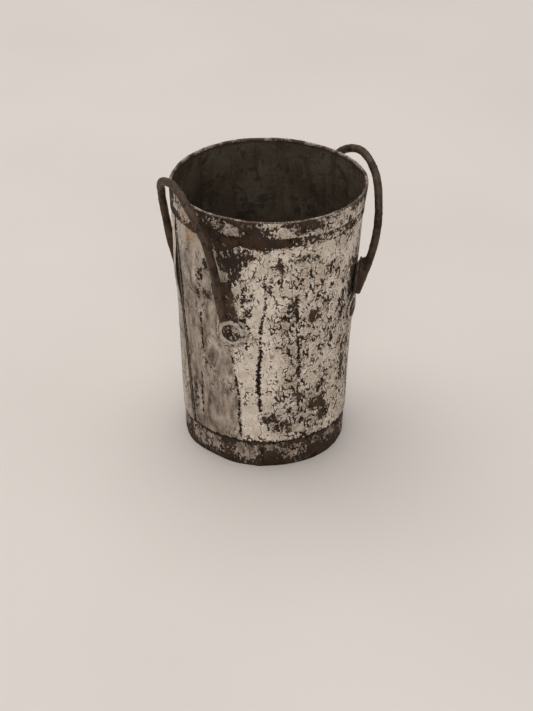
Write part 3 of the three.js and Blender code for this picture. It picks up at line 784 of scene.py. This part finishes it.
def rim_band_piece():
    roll_z = HEIGHT - FOLD_RADIUS
    middle = wall_radius(roll_z) - 0.5 * SHEET
    skirt = np.linspace(BAND_BOTTOM, roll_z - 0.6, SKIRT_ROWS)
    bend = np.linspace(0, np.pi, ROLL_ROWS)
    lip = np.array([roll_z - 0.8, roll_z - 1.5])
    rows = SKIRT_ROWS + ROLL_ROWS + len(lip)
    turn = np.linspace(BAND_JOINT_AZIMUTH, BAND_JOINT_AZIMUTH + 359.7, 480)
    azimuth = np.repeat(turn[:, None], rows, axis=1)

    def profile(depth):
        """Radii and heights of the band's outer side, or of the side a depth below it."""
        roll = FOLD_RADIUS - depth
        up = wall_radius(skirt) + BAND_PROUD - depth
        radius = np.concatenate([up, middle + roll * np.cos(bend), 0 * lip + middle - roll])
        z = np.concatenate([skirt, roll_z + roll * np.sin(bend), lip])
        return radius + 0 * azimuth, z + 0 * azimuth

    def knocked(radius, z):
        """The band's uneven skirt, lower edge and rolled top."""
        push = rough(polar(radius, azimuth, 0.4 * z), (0.22, 16, 11), (0.12, 5, 12))
        radius = radius + push * smoothstep(z, BAND_BOTTOM - 5, BAND_BOTTOM + 4)
        ring = polar(60, azimuth, 0)
        lower = rough(ring, (0.4, 13, 13), (0.15, 4, 15))
        upper = rough(ring, (0.25, 11, 14), (0.12, 3, 16)) - 0.3
        z = z + lower * (1 - smoothstep(z, BAND_BOTTOM, BAND_BOTTOM + 8))
        return polar(radius, azimuth, z + upper * smoothstep(z, HEIGHT - 6, HEIGHT))

    radius, z = profile(0)
    outer, inner = knocked(radius, z), knocked(*profile(SHEET))
    inside = radius < middle + 0.5 * FOLD_RADIUS
    fields = paint_fields(
        azimuth, z,
        paint=oval_field(azimuth, z, RIM_PAINT) - 6 * inside,
        crackle=0.6,
        grime=0.5,
        stain=np.clip(oval_field(azimuth, z, RIM_STAINS) / 8, 0, 0.4),
        tone=tone_field(azimuth, z, RIM_TONES),
    )
    row = np.tile(np.arange(rows - 1), len(turn) - 1)
    rolled = (row > SKIRT_ROWS) & (row < SKIRT_ROWS + ROLL_ROWS)
    materials = [PAINTED, WORN_EDGE, INSIDE]
    piece = sheet_piece("rim_band_folded", outer, inner, fields, materials, 1 * rolled, 2, 1)
    placed(piece, "rim_band")


FOOT_PAINT = [
    (207, 11, 8, 6), (232, 11, 10, 6), (252, 15, 6, 3), (268, 10, 9, 5), (285, 14, 5, 3),
    (192, 12, 9, 8), (300, 13, 8, 3), (40, 10, 12, 6), (80, 12, 9, 5), (130, 9, 15, 6),
    (170, 11, 8, 5), (320, 8, 7, 4),
]
FOOT_TONES = [(252, 3, 12, 7, 0.5), (290, 6, 16, 10, 0.3)]
FOOT_JOINT = [(FOOT_JOINT_AZIMUTH + 0.1, 0.5, 0.5), (FOOT_JOINT_AZIMUTH + 0.1, 16, 0.5)]


def foot_band_piece():
    z = np.linspace(0, FOOT_HIGH[2], 30)[None, :]
    azimuth = FOOT_JOINT_AZIMUTH + 0.2 + np.linspace(0, 359.6, 400)[:, None] + 0 * z
    z = z + 0 * azimuth
    in_wall = wall_radius(np.maximum(z, WALL_BOTTOM)) - SHEET - FOOT_PLAY
    below = FOOT_RADIUS + (in_wall - FOOT_RADIUS) * z / WALL_BOTTOM
    lap = smoothstep(azimuth, FOOT_JOINT_AZIMUTH + 353, FOOT_JOINT_AZIMUTH + 357)
    lap *= 1 - smoothstep(z, WALL_BOTTOM - 4, WALL_BOTTOM - 1)
    dents = rough(polar(52, azimuth, z), (0.25, 12, 21), (0.1, 4, 22))
    dents *= 1 - smoothstep(z, WALL_BOTTOM - 3, WALL_BOTTOM)
    knock = -1.2 * bell(azimuth % 360 - 205, 14) * (1 - smoothstep(z, 0, 12))
    radius = np.where(z > WALL_BOTTOM, in_wall, below) + dents + 0.45 * lap + knock
    outer = polar(radius, azimuth, z)
    inner = polar(radius - FOOT_THICKNESS, azimuth, z)
    joint = stroke_field(azimuth, z, [FOOT_JOINT])
    fields = paint_fields(
        azimuth, z,
        paint=oval_field(azimuth, z, FOOT_PAINT),
        crackle=0.85,
        grime=1,
        tone=tone_field(azimuth, z, FOOT_TONES),
        stroke=np.maximum(joint, 1.2 - np.abs(WALL_BOTTOM - 0.7 - z)),
    )
    piece = sheet_piece("foot_band_strip", outer, inner, fields, [PAINTED, INSIDE], 0, 1, 0)
    placed(piece, "foot_band")


# ---- handles, plates and rivets


def between(a, b, low, high, t):
    """The point between a, at low, and b, at high."""
    return ((high - t) * a + (t - low) * b) / (high - low)


def catmull_rom(points, per_span):
    """A smooth line through points, by centripetal Catmull-Rom spans."""
    p = np.asarray(points, float)
    p = np.concatenate([[2 * p[0] - p[1]], p, [2 * p[-1] - p[-2]]])
    line = []
    for span in zip(p[:-3], p[1:-2], p[2:-1], p[3:]):
        knots = np.cumsum([0] + [np.linalg.norm(b - a) ** 0.5 for a, b in zip(span, span[1:])])
        for t in np.linspace(knots[1], knots[2], per_span, endpoint=False):
            first = [between(*span[i:i + 2], knots[i], knots[i + 1], t) for i in range(3)]
            second = [between(*first[i:i + 2], knots[i], knots[i + 2], t) for i in range(2)]
            line.append(between(*second, knots[1], knots[2], t))
    line.append(p[-2])
    return np.array(line)


def wall_normal(azimuth):
    """The direction straight out of the wall at an azimuth."""
    normal = np.array([np.cos(np.radians(azimuth)), np.sin(np.radians(azimuth)), -TAPER])
    return normal / np.linalg.norm(normal)


def handle_line(side):
    """The centre line of the handle at an azimuth, from one foot over the rim to the other."""
    legs = [(-a, z, off) for a, z, off in HANDLE_ROUTE[:0:-1]] + HANDLE_ROUTE
    points = [polar(wall_radius(z) + off, side + a, z) for a, z, off in legs]
    return catmull_rom(points, 24)


SEAT_SIDES = 48
SEAT_ROUNDING = 0.3


def seat_disc(azimuth, radius, near, far):
    """Points and faces of a round plate that follows the wall round a rivet, its faces at two
    distances off the wall and its edge rounded."""
    angle = circle(SEAT_SIDES)[:, None]
    flat = np.linspace(0, radius - SEAT_ROUNDING, 10)[1:]
    bend = np.linspace(0, 0.5 * np.pi, 4)[1:]
    out = np.concatenate([flat, radius - SEAT_ROUNDING + SEAT_ROUNDING * np.sin(bend)])[None, :]
    drop = np.concatenate([0 * flat, SEAT_ROUNDING * (1 - np.cos(bend))])[None, :]
    z = RIVET_HEIGHT + out * np.sin(angle)
    around = azimuth + np.degrees(out * np.cos(angle) / wall_radius(RIVET_HEIGHT))
    top = polar(wall_radius(z) + far - drop, around, z).reshape(-1, 3)
    bottom = polar(wall_radius(z) + near, around, z).reshape(-1, 3)
    middles = [polar(wall_radius(RIVET_HEIGHT) + off, azimuth, RIVET_HEIGHT) for off in (far, near)]
    rows, count = out.shape[1], len(top)
    faces = grid_faces(SEAT_SIDES, rows, wrap=True, flip=True).tolist()
    faces += grid_faces(SEAT_SIDES, rows, start=count, wrap=True).tolist()
    for i in range(SEAT_SIDES):
        a, b = i * rows, (i + 1) % SEAT_SIDES * rows
        faces.append([a, b, 2 * count])
        faces.append([count + b, count + a, 2 * count + 1])
        a, b = a + rows - 1, b + rows - 1
        faces.append([b, a, a + count, b + count])
    return np.concatenate([top, bottom, middles]), faces


def handle_shell(side, lower):
    """The wire with the welds under its ends, as points and faces. The welds begin lower than in
    the CAD, by the given distance."""
    line = handle_line(side)
    step = np.linalg.norm(np.diff(line, axis=0), axis=1)
    run = np.concatenate([[0], np.cumsum(step)])
    from_end = np.minimum(run, run[-1] - run)
    sides = 24
    angle = 2 * np.pi * (np.arange(sides) + 0.5) / sides
    tangent = np.gradient(line, axis=0)
    tangent /= np.linalg.norm(tangent, axis=1)[:, None]
    radius = WIRE_RADIUS + SKIN_LOSS
    sections = []
    for centre, way, away in zip(line, tangent, from_end):
        thin = 1 - smoothstep(away, 0, WIRE_BEATEN)
        half_thick = radius + (WIRE_END_HALF_THICKNESS + SKIN_LOSS - radius) * thin
        weld = 1 - smoothstep(away, WELD_FULL - lower, WELD_START - lower)
        out = wall_normal(np.degrees(np.arctan2(centre[1], centre[0])))
        standoff = np.hypot(centre[0], centre[1]) - wall_radius(centre[2])
        up = out - way * (out @ way)
        up /= np.linalg.norm(up)
        across = np.cross(up, way)
        rounded = half_thick * np.cos(angle)
        to_lug = (standoff - LUG_NEAR) / (up @ out)
        rounded = np.where(rounded < 0, rounded + (-to_lug - rounded) * weld, rounded)
        sections.append(centre + rounded[:, None] * up - (radius * np.sin(angle))[:, None] * across)
    return np.concatenate(sections), tube_faces(len(line), sides)


def lug_shell(azimuth, lean, lower):
    """The flat lug from under a rivet's washer up to the wire's weld, with a worn, uneven
    outline. Above the backing plate it lies against the wall."""
    share = np.linspace(-1, 1, 26)
    along = np.linspace(0, 1, 60)
    width = np.stack([0 * share + azimuth, 6 * share, 0 * share], axis=-1)
    length = np.stack([0 * along + azimuth, 35 * along, 0 * along], axis=-1)
    slant = np.sign(lean) * LUG_SLANT * share
    top = LUG_TOP - lower - slant - 1.8 * share ** 4 + 0.5 * noise(width, 3, 37)
    z = LUG_BOTTOM + (top - LUG_BOTTOM)[:, None] * along
    left = LUG_HALF_WIDTH + 0.7 * noise(length, 4, 35)
    right = LUG_HALF_WIDTH + 0.7 * noise(length + 40, 4, 36)
    share = share[:, None]
    across = share * np.where(share < 0, left, right)
    middle = azimuth + lean * (z - RIVET_HEIGHT) / (LUG_TOP - RIVET_HEIGHT)
    turn = middle + np.degrees(across / wall_radius(z))
    above_plate = z - RIVET_HEIGHT - PLATE_RADIUS
    outer = wall_radius(z) + LUG_FAR + 0.25 * smoothstep(above_plate, -2, 6)
    inner = wall_radius(z) + LUG_NEAR - 0.4 * smoothstep(above_plate, 0.5, 3)
    points, side_faces, edges = sheet_shell(polar(outer, turn, z), polar(inner, turn, z))
    return points, np.concatenate([*side_faces, edges])


def remesh(obj, voxel):
    """Replaces an object's mesh with one even skin over its solids."""
    modifier = obj.modifiers.new("skin", "REMESH")
    modifier.mode = "VOXEL"
    modifier.voxel_size = voxel * MM
    modifier.use_smooth_shade = True
    graph = bpy.context.evaluated_depsgraph_get()
    mesh = bpy.data.meshes.new_from_object(obj.evaluated_get(graph))
    obj.modifiers.clear()
    old = obj.data
    obj.data = mesh
    bpy.data.meshes.remove(old)


def mesh_vectors(obj, kind):
    """The places, "co", or the normals, "normal", of an object's vertices."""
    values = np.zeros(len(obj.data.vertices) * 3, np.float32)
    obj.data.vertices.foreach_get(kind, values)
    return values.reshape(-1, 3).astype(float)


# The way both handles have been knocked, seen from above.
KNOCKED_WAY = np.array([0.906, -0.423])


def knocked_handle(points):
    """Both handles stand a little to one side of where they were made."""
    p = points.copy()
    z = p[:, 2]
    leg = 1.2 * smoothstep(z, 98, 118) * (1 - smoothstep(z, 150, 176))
    arch = 1.1 * smoothstep(z, 108, 140)
    p[:, :2] += np.where(p[:, 0] > 0, leg, arch)[:, None] * KNOCKED_WAY
    return p


def handle_paint(points):
    """How far inside a scrap of paint each point is: most are along the lugs."""
    z = points[:, 2]
    standoff = np.hypot(points[:, 0], points[:, 1]) - wall_radius(z)
    return -0.2 - 2.5 * smoothstep(standoff, 0.8, 2) - 1.5 * smoothstep(z, 118, 134)


def handle_piece(name, node, side, lower):
    points, faces = handle_shell(side, lower)
    lean = RIVET_AZIMUTH - LUG_TOP_AZIMUTH
    for azimuth, toward in ((side - RIVET_AZIMUTH, lean), (side + RIVET_AZIMUTH, -lean)):
        more, more_faces = lug_shell(azimuth, toward, lower)
        faces = faces + (more_faces + len(points)).tolist()
        points = np.concatenate([points, more])
    piece = make_object(name, points, faces, [IRON])
    remesh(piece, 0.3)
    points = mesh_vectors(piece, "co") / MM
    beaten = rough(points, (0.2, 5, 31), (0.1, 1.8, 32))[:, None]
    points = knocked_handle(points + beaten * mesh_vectors(piece, "normal"))
    piece.data.vertices.foreach_set("co", (hand_made(points) * MM).astype(np.float32).ravel())
    piece.data.update()
    set_field(piece.data, "paint", handle_paint(points))
    piece.data.materials.clear()
    piece.data.materials.append(IRON)
    placed(piece, node)


def seat_fields(points, azimuth, radius, paint, tone):
    """Fields of a round plate or a rivet: the paint has worn off along its edge."""
    turn = azimuth + from_azimuth(np.degrees(np.arctan2(points[:, 1], points[:, 0])), azimuth)
    z = points[:, 2]
    worn = 0.1 - np.abs(radius - 0.1 - np.hypot(turn - azimuth, z - RIVET_HEIGHT))
    return paint_fields(turn, z, paint, crackle=0.25, grime=0.55, tone=tone, stroke=worn)


def seat_piece(name, node, azimuth, radius, near, far, paint):
    """A backing plate or a washer."""
    points, faces = seat_disc(azimuth, radius, near, far)
    fields = seat_fields(points, azimuth, radius, paint, tone=0.18)
    piece = make_object(name, hand_made(points), faces, [PAINTED], None, fields)
    placed(piece, node)


RIVET_SIDES = 40


def rivet_piece(corner, azimuth):
    """A domed head, with the shank and the flat tail inside the wall."""
    bend = np.linspace(0, 0.5 * np.pi, 9)[:-1]
    rise = HEAD_FAR - HEAD_NEAR
    dome = [(RIVET_HEAD_RADIUS * np.cos(a), HEAD_NEAR + rise * np.sin(a)) for a in bend]
    tail = [(0.05, -1.9), (3.2, -1.9), (3.8, -1.5), (4, -0.9), (2, -0.85), (2, HEAD_NEAR)]
    profile = np.array(tail + dome + [(0.05, HEAD_FAR)])
    rows = len(profile)
    axis = wall_normal(azimuth)
    across = np.cross([0, 0, 1], axis)
    across /= np.linalg.norm(across)
    up = np.cross(axis, across)
    angle = circle(RIVET_SIDES)[:, None, None]
    out = np.cos(angle) * across + np.sin(angle) * up
    seat = polar(wall_radius(RIVET_HEIGHT), azimuth, RIVET_HEIGHT)
    points = (seat + profile[:, :1] * out + profile[:, 1:] * axis).reshape(-1, 3)
    points = points + 0.1 * noise(points, 3, 41)[:, None] * axis

    first = np.arange(RIVET_SIDES) * rows
    faces = grid_faces(RIVET_SIDES, rows, wrap=True).tolist()
    faces += [first[::-1].tolist(), (first + rows - 1).tolist()]
    on_shank = np.arange(rows - 1) < len(tail) - 1
    slots = np.concatenate([np.tile(on_shank, RIVET_SIDES), [1, 0]])

    fields = seat_fields(points, azimuth, RIVET_HEAD_RADIUS, 0, tone=0.35)
    turn, z = fields["sheet"][:, 0], points[:, 2]
    # a paint scrap on the head's upper right, pale where the dome's lit crescent shows: part paint, part
    # painted highlight
    fields["paint"] = 1.8 - 0.6 * np.hypot(turn - azimuth - 2.6, z - RIVET_HEIGHT - 3.2)
    materials = [PAINTED, IRON]
    piece = make_object(f"rivet_head_{corner}", hand_made(points), faces, materials, slots, fields)
    placed(piece, f"rivet_{corner}")


# ---- base and solder


def base_piece():
    """The base, with its flange turned down inside the foot band."""
    radius, top, bottom = BASE_HIGH[0], BASE_HIGH[2], BASE_LOW[2]
    thickness, bend, hole = 0.5, 1, 2
    corner = radius - bend
    arc = np.linspace(0, 0.5 * np.pi, 5)
    outer = [(radius, bottom + 0.1)]
    outer += [(corner + bend * np.cos(a), top - bend + bend * np.sin(a)) for a in arc]
    flat = [(r, top) for r in np.linspace(corner - 2, hole, 24)]
    under = [(r, top - thickness) for r in np.linspace(hole, corner - thickness, 24)]
    inner = [(radius - thickness, top - bend), (radius - thickness, bottom)]
    profile = outer + flat + under + inner
    azimuths = np.arange(0, 360, 2)
    points, faces = turned_shell(profile, azimuths)
    inward = radius - 4 - np.hypot(points[:, 0], points[:, 1])
    points[:, 2] += 0.35 * noise(points * [1, 1, 0], 26, 51) * smoothstep(inward, 0, 8)
    # the profile's hole in the middle is closed by a cap above and one below
    rows, columns = len(profile), len(azimuths)
    hole_row = len(outer) + len(flat) - 1
    faces = faces[np.tile(np.arange(rows) != hole_row, columns)].tolist()
    ring = np.arange(columns) * rows + hole_row
    faces += [ring.tolist(), (ring + 1)[::-1].tolist()]
    piece = make_object("base_sheet", hand_made(points), faces, [INSIDE])
    placed(piece, "base_disc")


def base_solder_piece():
    low, high = cad_box("base_solder")
    outer = high[0] + 0.15
    bottom = low[2] - 0.2
    steps = [(1.4, 0), (0, 0), (0, 1.6), (0.4, 0.8), (0.9, 0.35)]
    profile = [(outer - inward, bottom + up) for inward, up in steps]
    points, faces = turned_shell(profile, np.arange(0, 360, 1.5))
    points[:, 2] += 0.12 * noise(points, 3, 61)
    piece = make_object("base_solder_fillet", hand_made(points), faces, [SOLDER])
    placed(piece, "base_solder")


def seam_solder_piece():
    low, high = cad_box("side_seam_solder")
    z = np.linspace(low[2], high[2], 120)[:, None]
    angle = circle(12)[None, :]
    half_width = 1.5 + 0.4 * noise(np.concatenate([z, 0 * z, 0 * z], axis=1), 5, 71)[:, None]
    across = half_width * np.cos(angle)
    depth = 0.35 + 0.5 * np.maximum(np.sin(angle), -0.9)
    radius = wall_radius(z) - SHEET - depth
    azimuth = seam_edge(z) - np.degrees((SEAM_OVERLAP - across) / radius)
    points = polar(radius, azimuth, z + 0 * azimuth)
    faces = [face[::-1] for face in tube_faces(*azimuth.shape)]
    piece = make_object("seam_solder_bead", hand_made(points.reshape(-1, 3)), faces, [SOLDER])
    placed(piece, "side_seam_solder")


CORNERS = {
    "right_front": 360 - RIVET_AZIMUTH,
    "right_rear": RIVET_AZIMUTH,
    "left_front": 180 + RIVET_AZIMUTH,
    "left_rear": 180 - RIVET_AZIMUTH,
}

PLATE = (PLATE_RADIUS, PLATE_NEAR, PLATE_FAR, 4)
WASHER = (WASHER_RADIUS, WASHER_NEAR, WASHER_FAR, 3)

wall_piece()
rim_band_piece()
foot_band_piece()
base_piece()
base_solder_piece()
seam_solder_piece()
handle_piece("handle_right_wire", "handle_right", 0, 3)
handle_piece("handle_left_wire", "handle_left", 180, 0.5)
for corner, azimuth in CORNERS.items():
    seat_piece(f"seat_plate_{corner}", f"backing_plate_{corner}", azimuth, *PLATE)
    seat_piece(f"seat_washer_{corner}", f"washer_{corner}", azimuth, *WASHER)
    rivet_piece(corner, azimuth)

# ---- stage, light and camera


def stage_floor():
    s = Shader("floor")
    soft = s.noise(0.004, 2, 0.5)
    colour = s.mix(s.ramp(soft, 0.3, 0.7), FLOOR_PALE, FLOOR_DARK)
    material = s.finish(colour, 0.9, 0)
    size = 3000
    points = [(-size, -size, 0), (size, -size, 0), (size, size, 0), (-size, size, 0)]
    floor = make_object("floor", points, [[0, 1, 2, 3]], [material])


def area_light(name, place, aim, size, power):
    data = bpy.data.lights.new(name, "AREA")
    data.shape = "DISK"
    data.size = size
    data.energy = power
    light = bpy.data.objects.new(name, data)
    light.location = place
    light.rotation_euler = (Vector(aim) - Vector(place)).to_track_quat("-Z", "Y").to_euler()
    bpy.context.scene.collection.objects.link(light)


def studio_light():
    world = bpy.data.worlds.new("studio")
    world.use_nodes = True
    background = world.node_tree.nodes["Background"]
    background.inputs["Color"].default_value = (1, 1, 1, 1)
    background.inputs["Strength"].default_value = 0.5
    bpy.context.scene.world = world
    area_light("overhead", (-0.1, 0.5, 2.1), (0, 0.15, 0), 2.2, 21.5)
    area_light("front", (-0.8, -1.9, 1.3), (0, 0.1, 0.16), 1.1, 8.5)


# The camera looks down at the pail from the front left of its two handles.
CAMERA_AZIMUTH = -25.05
CAMERA_ELEVATION = 29.56
CAMERA_DISTANCE = 1.0768
CAMERA_LENS = 86.08
CAMERA_ROLL = 1.18


def photo_camera():
    middle = Vector((0, 0, 0.5 * HEIGHT * MM))
    aim = Vector((0.0005, -0.0003, 0.2865 * HEIGHT * MM))
    turn = np.radians(CAMERA_AZIMUTH)
    rise = np.radians(CAMERA_ELEVATION)
    away = Vector((np.sin(turn) * np.cos(rise), -np.cos(turn) * np.cos(rise), np.sin(rise)))
    data = bpy.data.cameras.new("camera")
    data.lens = CAMERA_LENS
    data.sensor_width = 36
    data.clip_start = 0.01
    camera = bpy.data.objects.new("camera", data)
    place = middle + CAMERA_DISTANCE * away
    look = (aim - place).to_track_quat("-Z", "Y").to_matrix().to_4x4()
    roll = Matrix.Rotation(np.radians(CAMERA_ROLL), 4, "Z")
    camera.matrix_world = Matrix.Translation(place) @ look @ roll
    bpy.context.scene.collection.objects.link(camera)
    bpy.context.scene.camera = camera


stage_floor()
studio_light()
photo_camera()
bpy.context.scene.view_settings.view_transform = "Standard"
